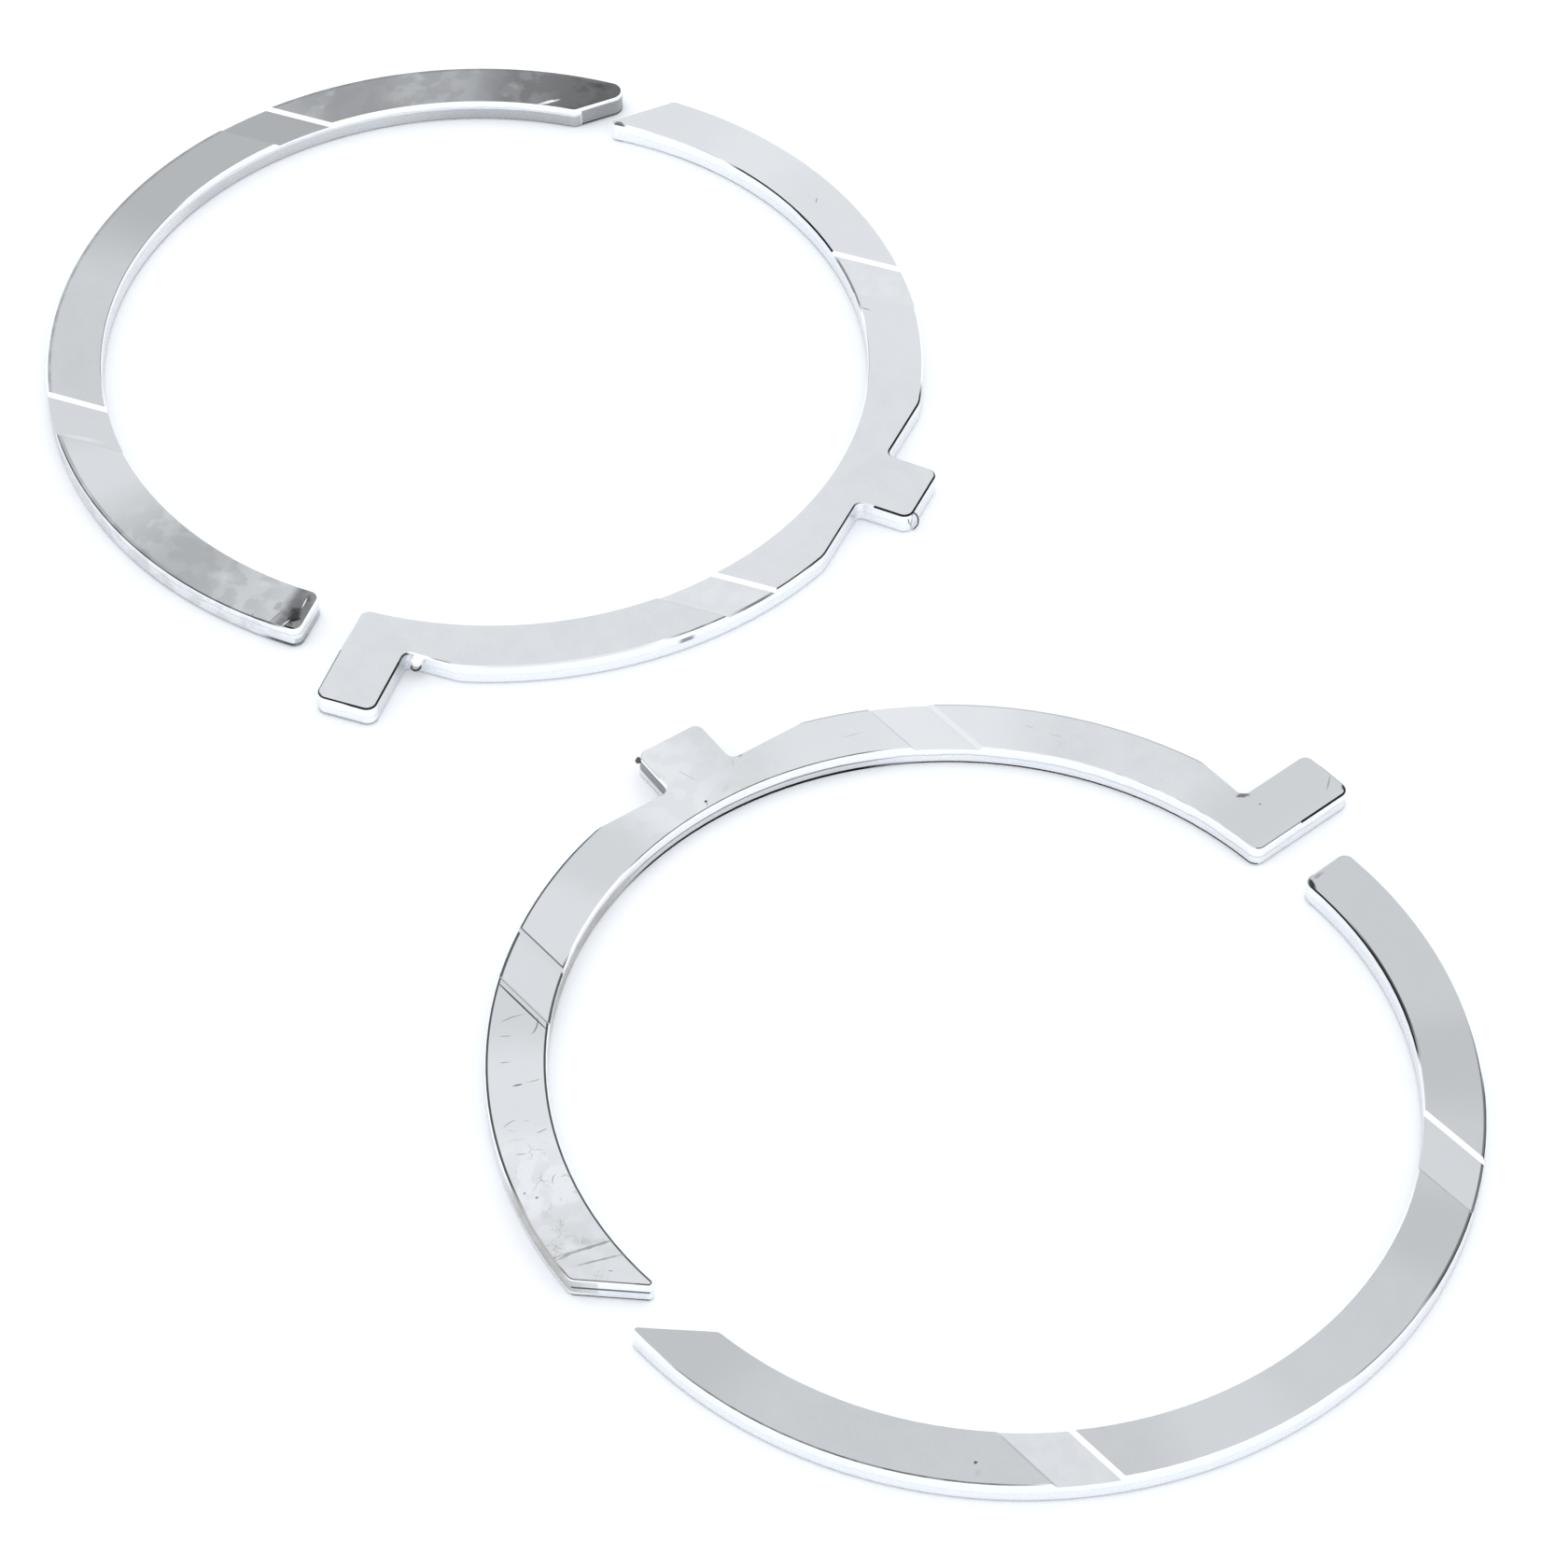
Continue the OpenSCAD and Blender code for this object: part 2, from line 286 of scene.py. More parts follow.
class Effects:
    """The node groups that every half's steel uses, each built once, when it is first used."""

    @cached_property
    def zones(self) -> Tree:
        """Tells face, groove floor, groove side, broken edge and wall apart.

        The face and the groove floor look up, the broken edges and the groove's sides look half up, and the walls
        look aside. The groove's sides look along the half's own X axis, and lie where the grooves are. Radius is the
        distance from the washer's axis. Turn is the angle about it in degrees, counted on from the middle of the
        half, so that it doesn't jump at the cuts. Level is the height, 0 underneath and 1 on the face.

        Returns:
            The group, with a mask for each region and the three measures.
        """
        desk = GroupDesk("WasherZones", {"Place": NOWHERE, "Facing": (0.0, 0.0, 1.0), "Side": 1.0},
                         "Face", "Groove", "Ramp", "Edge", "Wall", "Radius", "Turn", "Level")
        place, facing, side = desk.taken()
        x, y, z = desk.split(place)
        across, _, up = desk.split(facing)
        flat = desk.band(up, 0.90, 0.98)
        low = desk.band(z, THICKNESS - 0.45 * GROOVE_DEPTH, THICKNESS - 0.75 * GROOVE_DEPTH)
        sloped = desk.times(desk.band(up, 0.3, 0.5), desk.minus(1.0, flat))
        crossing = desk.within(desk.size(x), GROOVE_X - GROOVE_REACH, GROOVE_X + GROOVE_REACH, 0.15)
        ramp = desk.times(sloped, crossing, desk.band(desk.size(across), 0.62, 0.68))
        turn = desk.math("DEGREES", desk.math("ARCTAN2", desk.times(x, side, -1.0), desk.times(y, side)))
        return desk.given(
            Face=desk.times(flat, desk.minus(1.0, low)), Groove=desk.times(flat, low), Ramp=ramp,
            Edge=desk.math("SUBTRACT", sloped, ramp, clamp=True), Wall=desk.band(desk.size(up), 0.45, 0.2),
            Radius=desk.math("SQRT", desk.plus(desk.times(x, x), desk.times(y, y))),
            Turn=desk.plus(turn, desk.times(side, 90.0)), Level=desk.over(z, THICKNESS))

    @cached_property
    def stretch(self) -> Tree:
        """A stretch between two angles, faded at its ends, and broken up by a cloud by the share of Uneven.

        Returns:
            The group, with one mask.
        """
        desk = GroupDesk("ArcStretch", {"Turn": 0.0, "Cloud": 0.5, "From": 0.0, "To": 90.0, "Ease": 4.0,
                                        "Uneven": 0.0}, "Mask")
        turn, cloud, first, last, ease, uneven = desk.taken()
        mask = desk.within(turn, first, last, ease)
        return desk.given(Mask=desk.times(mask, desk.blend(uneven, 1.0, desk.band(cloud, 0.42, 0.56))))

    @cached_property
    def between(self) -> Tree:
        """The part of a mask where a value lies between two limits.

        Returns:
            The group, with one mask.
        """
        desk = GroupDesk("BetweenLimits", {"Value": 0.0, "Low": 0.0, "High": 1.0, "Soft": 0.1, "Mask": 1.0}, "Mask")
        value, low, high, soft, mask = desk.taken()
        return desk.given(Mask=desk.times(desk.within(value, low, high, soft), mask))

    @cached_property
    def grain(self) -> Tree:
        """Fine satin dots left by grinding.

        Two clouds, of about a third and a tenth of a millimetre, are added, so dots of two sizes lie over each other.

        Returns:
            The group, with the dots from 0 to 1 and their height.
        """
        desk = GroupDesk("GroundGrain", {"Place": NOWHERE, "Size": GRAIN_SIZE}, "Dots", "Height")
        place, size = desk.taken()
        scale = desk.over(1.0, size)
        coarse = desk.noise(place, scale, 1.0)
        fine = desk.noise(place, desk.times(scale, 3.1), 2.0)
        both = desk.plus(desk.times(coarse, 0.55), desk.times(fine, 0.45))
        return desk.given(Dots=desk.band(both, 0.38, 0.62, smooth=False), Height=both)

    @cached_property
    def mottle(self) -> Tree:
        """Slow clouds of lighter and darker steel, from stains and handling.

        A warped cloud, a few millimetres to a few centimetres across, is eased between its low and high values.

        Returns:
            The group, with one cloud from 0 to 1.
        """
        desk = GroupDesk("SteelMottle", {"Place": NOWHERE, "Size": 12.0, "Soft": 0.2}, "Cloud")
        place, size, soft = desk.taken()
        cloud = desk.noise(place, desk.over(1.0, size), 3.0, 0.5, 0.4)
        return desk.given(Cloud=desk.band(cloud, desk.minus(0.5, soft), desk.plus(0.5, soft)))

    @cached_property
    def hairs(self) -> Tree:
        """Hair scratches, thin crooked lines in short pieces.

        A cloud that is stretched along the lines is cut at its middle value, which draws thin lines, and a second,
        wider cloud keeps only some stretches of them.

        Returns:
            The group, with the lines as one mask.
        """
        desk = GroupDesk("HairScratches", {"Place": NOWHERE, "Angle": 0.0, "Length": 6.0, "Spacing": 2.0,
                                           "Width": 0.012, "Share": 0.4}, "Line")
        place, angle, length, spacing, width, share = desk.taken()
        turned = desk.placed(place, turn=desk.join(0.0, 0.0, angle))
        thin = desk.placed(turned, size=desk.join(desk.over(1.0, length), desk.over(1.0, spacing)))
        line = desk.band(desk.size(desk.minus(desk.noise(thin, 1.0, 2.0, 0.5, 0.3), 0.5)), width, 0.0)
        kept = desk.noise(turned, desk.over(0.7, length), 2.0)
        least = desk.minus(0.75, desk.times(share, 0.5))
        return desk.given(Line=desk.times(line, desk.band(kept, least, desk.plus(least, 0.06))))

    @cached_property
    def veins(self) -> Tree:
        """Fine branching cracks.

        The plane is warped by two clouds and shared out into cells, and the line is where a cell's border is near. A
        third cloud keeps only some stretches of it.

        Returns:
            The group, with the lines as one mask.
        """
        desk = GroupDesk("CrackleVeins", {"Place": NOWHERE, "Size": 3.0, "Width": 0.03, "Share": 0.4}, "Line")
        place, size, width, share = desk.taken()
        warps = (desk.noise(at, 0.5, 3.0) for at in (place, desk.placed(place, move=(31.0, 7.0, 0.0))))
        shift = desk.join(*(desk.times(desk.minus(warp, 0.5), 3.0) for warp in warps))
        cells = desk.node("TexVoronoi", feature="DISTANCE_TO_EDGE", voronoi_dimensions="2D")
        desk.lay(cells, Vector=desk.placed(place, move=shift, size=(1.0, 1.0, 0.0)), Scale=desk.over(1.0, size))
        line = desk.band(cells.outputs["Distance"], width, 0.0)
        kept = desk.noise(desk.placed(place, move=(5.0, 11.0, 0.0)), 0.35, 3.0)
        least = desk.minus(0.72, desk.times(share, 0.5))
        return desk.given(Line=desk.times(line, desk.band(kept, least, desk.plus(least, 0.08))))

    @cached_property
    def mark(self) -> Tree:
        """One placed mark: an oval, straight or bowed, which is a pit, a stain or a scratch by its length and width.

        The distances from its middle are turned along it, and the one across it is shifted by the bow times the
        square of the one along it. Each is divided by the half size, a share of a cloud is added to their length,
        and the mark is where the result is below 1. All of it is done on plain numbers: a half has many marks, and
        the renderer would keep a vector for each.

        Returns:
            The group, with one mask.
        """
        names = ("X", "Y", "Middle X", "Middle Y", "Angle", "Length", "Width", "Bow", "Soft", "Ragged", "Cloud")
        desk = GroupDesk("PlacedMark", dict.fromkeys(names, 1.0), "Mask")
        x, y, middle_x, middle_y, angle, length, width, bow, soft, ragged, cloud = desk.taken()
        x, y = desk.minus(x, middle_x), desk.minus(y, middle_y)
        c, s = desk.math("COSINE", angle), desk.math("SINE", angle)
        along = desk.over(desk.plus(desk.times(x, c), desk.times(y, s)), desk.times(length, 0.5))
        aside = desk.minus(desk.times(y, c), desk.times(x, s))
        square = desk.times(along, along)
        across = desk.over(desk.plus(aside, desk.times(bow, square)), desk.times(width, 0.5))
        far = desk.math("SQRT", desk.plus(square, desk.times(across, across)))
        rough = desk.times(desk.minus(cloud, 0.5), ragged, 5.0)
        return desk.given(Mask=desk.band(desk.plus(far, rough), 1.0, desk.minus(1.0, soft)))


# ---- finishes


def steel(tone: float, warm: float = 0.0) -> Colour:
    """The colour of steel of one brightness, a little cool, or leaning to brown as far as it is warm."""
    return tone * (0.978 + 0.10 * warm), tone * (0.995 - 0.01 * warm), tone * (1.02 - 0.16 * warm), 1.0


@dataclass(frozen=True)
class Mark:
    """A pit, stain, nick or single scratch at a set place on a half.

    Sizes are millimetres in the half's own frame, and the angle is in degrees from its straight cut.
    """

    x: float
    y: float
    length: float
    width: float
    angle: float
    tone: float
    strength: float
    ragged: float = 0.15
    soft: float = 0.6
    bow: float = 0.0
    warm: float = 0.0
    deep: bool = False


# Stretches also paint light: the broad lighter and darker runs along a face are painted shade and reflection from how
# each half lies.
@dataclass(frozen=True)
class Stretch:
    """A part of a half's surface that is lighter or darker, between two angles in degrees.

    It can also be kept between a bottom and a top, 0 underneath and 1 on the face, and two radii in millimetres.
    """

    start: float
    end: float
    tone: float
    strength: float
    ease: float = 4.0
    bottom: float = -1.0
    top: float = 2.0
    radii: Pair | None = None
    uneven: float = 0.0
    warm: float = 0.0


@dataclass(frozen=True)
class Veins:
    """A part of a half's face that is crazed with fine dark cracks, between two angles in degrees."""

    start: float
    end: float
    size: float
    tone: float
    strength: float
    width: float
    share: float


class HalfDesk(SteelDesk):
    """The desk of one half's steel, with the half's masks, measures and clouds."""

    def __init__(self, name: str, effects: Effects, side: int, centre: Pair, turn: float) -> None:
        """Starts the material and reads where its points lie on the half.

        Args:
            name: The material's name.
            effects: The shared node groups.
            side: 1 or -1, the side of its straight cut that the half lies on.
            centre: The half's own origin in the object's frame, in millimetres.
            turn: The half's turn about it, in degrees.
        """
        super().__init__(name)
        self.effects = effects
        back = (0.0, 0.0, -math.radians(turn))
        self.place = self.placed(self.placed(self.point, (-centre[0], -centre[1], 0.0), size=TO_MM), turn=back)
        facing = self.placed(self.normal, turn=back)
        self.zones = self.use(effects.zones, Place=self.place, Facing=facing, Side=float(side))
        self.ragged = self.noise(self.place, 0.9, 3.0, 0.6)
        self.patchy = self.noise(self.place, 0.33, 2.0)
        self.right, self.back, _ = self.split(self.normal)
        self.x, self.y, _ = self.split(self.place)

    def cloud(self, size: float, soft: float) -> Socket:
        """Slow clouds of about this size, in millimetres."""
        return self.use(self.effects.mottle, Place=self.place, Size=size, Soft=soft)["Cloud"]

    def arc(self, part: Stretch | Veins, ease: float, uneven: float = 0.0) -> Socket:
        """The mask of a part between two angles, eased at its ends and broken up by a cloud."""
        return self.use(self.effects.stretch, Turn=self.zones["Turn"], Cloud=self.patchy, From=part.start,
                        To=part.end, Ease=ease, Uneven=uneven)["Mask"]


@dataclass
class Paint:
    """Tones laid over each other before the ground under them is known.

    The renderer settles the grounds last. With the tones kept apart from them, no mask has to wait for its ground.
    Pit is how deep the marks dent the steel.
    """

    desk: HalfDesk
    tone: Value = BLACK
    through: Value = 1.0
    pit: Value = 0.0

    def lay(self, share: Socket, colour: Colour) -> None:
        """Lays one more tone on top, as far as the share says."""
        self.tone = self.desk.tint(share, self.tone, colour)
        self.through = self.desk.blend(share, self.through, 0.0)

    def stretch(self, patch: Stretch) -> None:
        """Lays a lighter or darker stretch.

        Args:
            patch: The stretch.
        """
        desk, mask = self.desk, self.desk.arc(patch, patch.ease, patch.uneven)
        levels = (patch.bottom, patch.top)
        for name, limits, fade in (("Radius", patch.radii, RADIUS_FADE), ("Level", levels, LEVEL_FADE)):
            if limits not in (None, (Stretch.bottom, Stretch.top)):
                mask = desk.use(desk.effects.between, Value=desk.zones[name], Low=limits[0], High=limits[1],
                                Soft=fade, Mask=mask)["Mask"]
        self.lay(desk.times(mask, patch.strength), steel(patch.tone, patch.warm))

    def craze(self, part: Veins) -> None:
        """Lays fine cracks.

        Args:
            part: The crazed part.
        """
        desk, area = self.desk, self.desk.arc(part, VEINS_EASE)
        lines = desk.use(desk.effects.veins, Place=desk.place, Size=part.size, Width=part.width, Share=part.share)
        self.lay(desk.times(area, lines["Line"], part.strength), steel(part.tone))

    def mark(self, spot: Mark) -> None:
        """Lays a pit, a stain or a scratch.

        Args:
            spot: The mark.
        """
        desk = self.desk
        laid = desk.use(desk.effects.mark, X=desk.x, Y=desk.y, Middle_X=spot.x, Middle_Y=spot.y,
                        Angle=math.radians(spot.angle), Length=spot.length, Width=spot.width, Bow=spot.bow,
                        Soft=spot.soft, Ragged=spot.ragged, Cloud=desk.ragged)
        share = desk.times(laid["Mask"], spot.strength)
        self.lay(share, steel(spot.tone, spot.warm))
        if spot.deep:
            self.pit = desk.math("MAXIMUM", self.pit, share)

    def over(self, ground: Socket) -> Socket:
        """The ground where it shows through, and the tones over it."""
        return self.desk.tint(1.0, self.desk.grey(ground, self.through), self.tone, "ADD")


@dataclass(frozen=True)
class SteelFinish:
    """One half's steel: ground face, broken edges and walls, its own wear, and painted shade and reflection. Tones
    and levels go from 0 to 1.
    """

    name: str
    side: int
    stretches: dict[Region, tuple[Stretch, ...]]
    marks: dict[Region, tuple[Mark, ...]]
    veins: tuple[Veins, ...] = ()
    face: float = 0.60
    cloud: float = 0.64
    cloud_size: float = 16.0
    cloud_share: float = 0.5
    groove: float = 0.63
    edge: float = 0.93
    # painted reflection on the groove sides: ramp where they face -Y, far_ramp where they face +Y
    ramp: float = 0.95
    far_ramp: float = 0.60
    wall: float = 0.97
    # painted shade in part: the duller band below the seam also stands for the shadowed floor that it reflects
    low_wall: float = 0.91
    seam: float = 0.55
    seam_strength: float = 0.15
    seam_level: float = 0.5
    # painted contact shadow at the foot of the walls, and its strength
    foot_shadow: float = 0.28
    foot_shadow_strength: float = 0.5
    grain: float = 0.02
    hair_tone: float = 0.2
    hair_share: float = 0.2
    hair_strength: float = 0.12
    hair_angle: float = 0.6

    def material(self, desk: HalfDesk) -> Material:
        """Builds the steel of one half, region by region.

        Args:
            desk: The half's desk.

        Returns:
            The material.
        """
        colour, pit = None, 0.0
        for region in Region:
            paint = Paint(desk)
            for patch in self.stretches.get(region, ()):
                paint.stretch(patch)
            for part in self.veins if region is Region.FACE else ():
                paint.craze(part)
            for spot in self.marks.get(region, ()):
                paint.mark(spot)
            painted, mask = paint.over(self.ground(desk, region)), desk.zones[region.value]
            if region is Region.FACE:
                colour, pit = painted, desk.times(paint.pit, mask)
            else:
                colour = desk.tint(mask, colour, painted)

        grain = desk.use(desk.effects.grain, Place=desk.place)
        rough = desk.blend(desk.zones["Wall"], TOP_ROUGH, WALL_ROUGH)
        rough = desk.plus(desk.times(grain["Dots"], GRAIN_ROUGH), rough)
        rough = desk.plus(rough, desk.times(pit, PIT_ROUGH))
        height = desk.minus(desk.times(grain["Height"], GRAIN_HEIGHT), desk.times(pit, PIT_DEPTH))
        return desk.finished(colour, rough, height, strength=0.5)

    def ground(self, desk: HalfDesk, region: Region) -> Socket:
        """A region's steel without its wear and painted shade. A groove's sides carry a painted reflection, one tone
        to the front and one to the back.

        Args:
            desk: The half's desk.
            region: The kind of surface.

        Returns:
            The colour.
        """
        match region:
            case Region.FACE:
                return self.face_ground(desk)
            case Region.GROOVE:
                tones, share = (self.groove, self.groove * 1.05), desk.band(desk.patchy, 0.35, 0.65)
            case Region.RAMP:
                # painted reflection: near white ramp tone on groove sides facing -Y, far ramp tone on those facing +Y
                tones, share = (self.far_ramp, self.ramp), desk.band(desk.back, 0.1, -0.2)
            case Region.EDGE:
                tones, share = (self.edge, self.edge * 1.06), desk.band(desk.patchy, 0.3, 0.7)
            case Region.WALL:
                return self.wall_ground(desk)
        return desk.tint(share, *map(steel, tones))

    def face_ground(self, desk: HalfDesk) -> Socket:
        """The ground face: slow clouds, satin grain and faint hair scratches.

        Args:
            desk: The half's desk.

        Returns:
            The colour.
        """
        slow, small = desk.cloud(self.cloud_size, 0.16), desk.cloud(self.cloud_size * 0.22, 0.2)
        grain = desk.use(desk.effects.grain, Place=desk.place)
        hairs = desk.use(desk.effects.hairs, Place=desk.place, Angle=self.hair_angle, Length=7.0, Spacing=1.6,
                         Share=self.hair_share)
        colour = desk.tint(desk.times(slow, self.cloud_share), steel(self.face), steel(self.cloud))
        colour = desk.tint(desk.times(small, 0.35), colour, steel(self.cloud * 1.03))
        scratch = desk.times(hairs["Line"], desk.zones["Face"], self.hair_strength)
        colour = desk.tint(scratch, colour, steel(self.hair_tone))
        dots = desk.band(grain["Dots"], 0.0, 1.0, 1.0 - self.grain, 1.0 + self.grain, smooth=False)
        return desk.grey(colour, dots)

    def wall_ground(self, desk: HalfDesk) -> Socket:
        """The walls: burnished above a wavy seam, duller below it and partly painted shade there, with a painted
        shadow at the foot and painted shade where they look aside.

        Args:
            desk: The half's desk.

        Returns:
            The colour.
        """
        level, at = desk.zones["Level"], self.seam_level
        wavy = desk.plus(level, desk.times(desk.minus(desk.noise(desk.place, 0.22, 3.0), 0.5), 0.22))
        streak = desk.noise(desk.placed(desk.place, size=(0.5, 0.5, 2.5)), 1.0, 3.0)
        # below the seam: duller steel, partly painted shade of the shadowed floor the low wall reflects
        low = desk.tint(desk.band(streak, 0.35, 0.65, 0.0, 0.5), steel(self.low_wall), steel(self.wall))
        side = desk.tint(desk.band(wavy, at + 0.01, at + 0.06), low, steel(self.wall))
        line = desk.times(desk.band(wavy, at - 0.06, at), desk.band(wavy, at + 0.07, at + 0.01))
        side = desk.tint(desk.times(line, self.seam_strength), side, steel(self.seam))
        # painted contact shadow along the foot of the wall
        side = desk.tint(desk.times(desk.band(level, 0.13, 0.09), self.foot_shadow_strength), side, steel(self.foot_shadow))
        # painted shade on walls that look aside, along X
        return desk.tint(desk.band(desk.size(desk.right), 0.55, 0.98, 0.0, 0.15), side, steel(0.45))


# ---- the four finishes

# Radii that keep a stretch to one edge or wall, in millimetres, or let it have them all.
ALL = None
INNER_EDGE = (50.0, 58.5)
OUTER_EDGE = (62.2, 65.3)
TAB = (65.3, 90.0)
INNER_WALL = (50.0, 57.2)
OUTER_WALL = (62.2, 90.0)
CUT = (57.3, 64.8)


def arcs(radii: Pair | None, *rows: tuple[float, ...], **shared: float) -> tuple[Stretch, ...]:
    """Stretches that share their radii and more: each row is start, end, tone, strength, ease, bottom and top."""
    return tuple(Stretch(*row, radii=radii, **shared) for row in rows)


def marks(*rows: tuple[float, ...], **shared: float) -> tuple[Mark, ...]:
    """Marks: each row is x, y, length, width, angle, tone, strength, ragged and soft, and they share the rest."""
    return tuple(Mark(*row, **shared) for row in rows)


DULL_STEEL = SteelFinish(
    "DullSteel", -1, face=0.525, cloud=0.55, groove=0.6, low_wall=0.86, seam=0.4, seam_strength=0.3, seam_level=0.68,
    foot_shadow=0.12, foot_shadow_strength=0.6, hair_strength=0.05,
    stretches={
        # painted shade: the dark runs between the groove and the slanted end stand for this half's tilted face
        # reflecting less light
        Region.FACE: (*arcs(ALL, (-134, -92, 0.405, 0.95, 9), (-148, -133, 0.31, 1, 5), (-158, -148, 0.385, 1),
            (-192, -158, 0.24, 1, 5), (-192, -171, 0.105, 0.95), (-50, -37, 0.63, 0.85), (-27, -14, 0.4, 0.9, 5)),
            *arcs(ALL, (-4, 3, 0.16, 0.9, 0.9), uneven=0.15), *arcs(ALL, (-32, -6, 0.33, 0.4),
            (-180, -128, 0.27, 0.45, 6), (-192, -163, 0.1, 0.5), uneven=1.0),
            *arcs((64.25, 64.75), (-178, -20, 0.2, 0.5, 3), uneven=0.4)),
        Region.GROOVE: arcs(ALL, (-140, -112, 0.365, 0.95), (-60, -40, 0.58, 0.8)),
        Region.EDGE: (*arcs(OUTER_EDGE, (-56, -3, 0.04, 0.95, 2, 0.95), uneven=0.1),
            *arcs(INNER_EDGE, (-105, -60, 0.2, 0.85, 4, 0.962))),
        # painted shadow: the dark runs that end low on a wall, at a top of 0.22 or less, are contact shadow lines at
        # its foot
        Region.WALL: (*arcs(INNER_WALL, (-186, -104, 0.6, 0.85, 6, -1, 0.62),
            (-190, -150, 0.35, 0.5, 10, -1, 0.62)), *arcs(CUT, (-195, -165, 0.3, 0.9, 2, -1, 0.86),
            (-195, -165, 0.04, 0.9, 2, -1, 0.14)), *arcs(OUTER_WALL, (-5, 4, 0.06, 0.9, 1, -1, 0.22)),
            *arcs(CUT, (-3, 4, 0.35, 0.6, 1, -1, 0.45)), *arcs(OUTER_WALL, (-60, -5, 0.55, 0.45), uneven=0.7)),
    },
    marks={
        Region.FACE: (*marks((60.6, -2.6, 9.5, 4, 0, 0.15, 0.7, 0.3, 0.7),
            (62.2, -2.2, 4.4, 2.4, 0, 0.03, 0.9, 0.3), (-56.9, -9.4, 4.2, 0.8, 129, 0.95, 0.85, 0.25),
            (58.4, -1.6, 2.6, 1.4, 20, 0.09, 0.7, 0.4), (59.1, -1.8, 2.6, 0.24, 3, 0.95, 0.9),
            (63.9, -2.8, 2.2, 0.24, -23, 0.95, 0.9)), *marks((62.8, -1.7, 1.8, 0.5, 120, 0.01, 0.95),
            (64.5, -1.9, 2.5, 0.5, 92, 0.01, 0.95), deep=True), *marks((61.2, -5.2, 2.4, 1.4, 0, 0.26, 0.5, 0.4),
            (63.1, -4.6, 3.6, 0.35, -18, 0.2, 0.7), (64.3, -7.9, 1.6, 0.35, 26, 0.2, 0.7),
            (64.5, -6, 5.8, 0.35, 85, 0.1, 0.8), (58.5, -15.1, 7, 3.5, 100, 0.64, 0.5, 0.15, 1),
            (57.6, -8.3, 5, 2, 95, 0.64, 0.5, 0.15, 1), (-55.9, -25.1, 8, 5, 110, 0.4, 0.4, 0.3, 1),
            (-49.3, -33, 6, 4, 120, 0.42, 0.35, 0.15, 1), (-51.2, -29.5, 4, 3, 120, 0.42, 0.35, 0.15, 1),
            (-46.7, -43.3, 2.6, 1.6, 0, 0.5, 0.4, 0.5, 1), (-43, -43.3, 2.2, 1.6, 0, 0.5, 0.4, 0.5, 1),
            (-55.3, -31.2, 2.6, 1.8, 60, 0.46, 0.4, 0.5, 1), (-59.6, -23.2, 2.2, 1.4, 60, 0.42, 0.4, 0.5, 1),
            (-58.6, -16.2, 2.4, 1.5, 60, 0.38, 0.4, 0.5, 1), (-56, -16.7, 1.8, 1.2, 60, 0.38, 0.35, 0.5, 1),
            (-63.3, -3.4, 4, 2.4, 100, 0.05, 0.7, 0.3, 1))),
        Region.GROOVE: marks((38.9, -47.3, 9, 1.3, 96, 0.74, 0.6, 0.15, 1)),
    })

GROUND_STEEL = SteelFinish(
    "GroundSteel", 1, face=0.615, cloud=0.66, groove=0.655, low_wall=0.93, foot_shadow_strength=0.25,
    stretches={
        Region.FACE: arcs(ALL, (106, 156, 0.66, 0.6, 10), (152, 168, 0.69, 0.8, 5), (168, 186, 0.66, 0.6)),
        Region.GROOVE: (*arcs((50, 56.9), (120.6, 133.4, 0.2, 0.9, 1)),
            *arcs((64.5, 66), (54, 60, 0.12, 0.85, 2))),
        Region.EDGE: (*arcs(INNER_EDGE, (137, 161, 0.015, 1, 2, 0.945), (132, 146, 0.015, 1, 2)),
            *arcs(INNER_EDGE, (161, 177, 0.3, 0.6, 4, 0.96), uneven=0.3), *arcs(INNER_EDGE, (121, 133, 0.2, 0.9, 1.5),
            (103, 116, 0.3, 0.7, 3, 0.96)), *arcs(TAB, (-4, 14, 0.015, 1, 1, 0.945), (4, 10.2, 0.02, 0.95, 0.6),
            (74, 98, 0.015, 1, 1)), *arcs(OUTER_EDGE, (12.2, 15, 0.15, 0.8, 0.8, 0.965), (18, 42, 0.68, 0.8, 3)),
            *arcs(OUTER_EDGE, (44, 58, 0.08, 0.9, 1.5, 0.952), uneven=0.2),
            *arcs(OUTER_EDGE, (53, 79.6, 0.02, 0.95, 1.2, 0.95), (66, 79.6, 0.02, 0.9, 1.2, 0.938),
            (89, 104, 0.015, 1, 2)), *arcs((63.3, 66), (6.8, 9.6, 0.02, 0.95, 0.6))),
        # painted shadow: the dark runs that end low on a wall, at a top of 0.22 or less, are contact shadow lines at
        # its foot
        Region.WALL: (*arcs(INNER_WALL, (112, 172, 0.22, 0.8, 5, -1, 0.1)),
            *arcs(TAB, (-4, 10, 0.3, 0.7, 1, -1, 0.16)), *arcs((65.3, 73.8), (2.5, 10, 0.75, 0.8, 0.8)),
            *arcs(OUTER_WALL, (45.2, 47.2, 0.15, 0.8, 0.5, 0.5, 0.72))),
    },
    marks={
        Region.FACE: marks((-56.6, -2, 2.6, 1.2, 70, 0.1, 0.85, 0.4), (-50.2, 33.9, 1.6, 0.24, 12, 0.2, 0.8),
            (-29.2, 49.4, 2.2, 0.3, 85, 0.25, 0.85), (62.5, 15.2, 2.8, 0.25, 86, 0.25, 0.85),
            (74.5, 0.6, 1.8, 0.8, 60, 0.03, 0.9)),
        Region.EDGE: marks((-56.6, -2, 3, 2.4, 70, 0.05, 0.9)),
    })

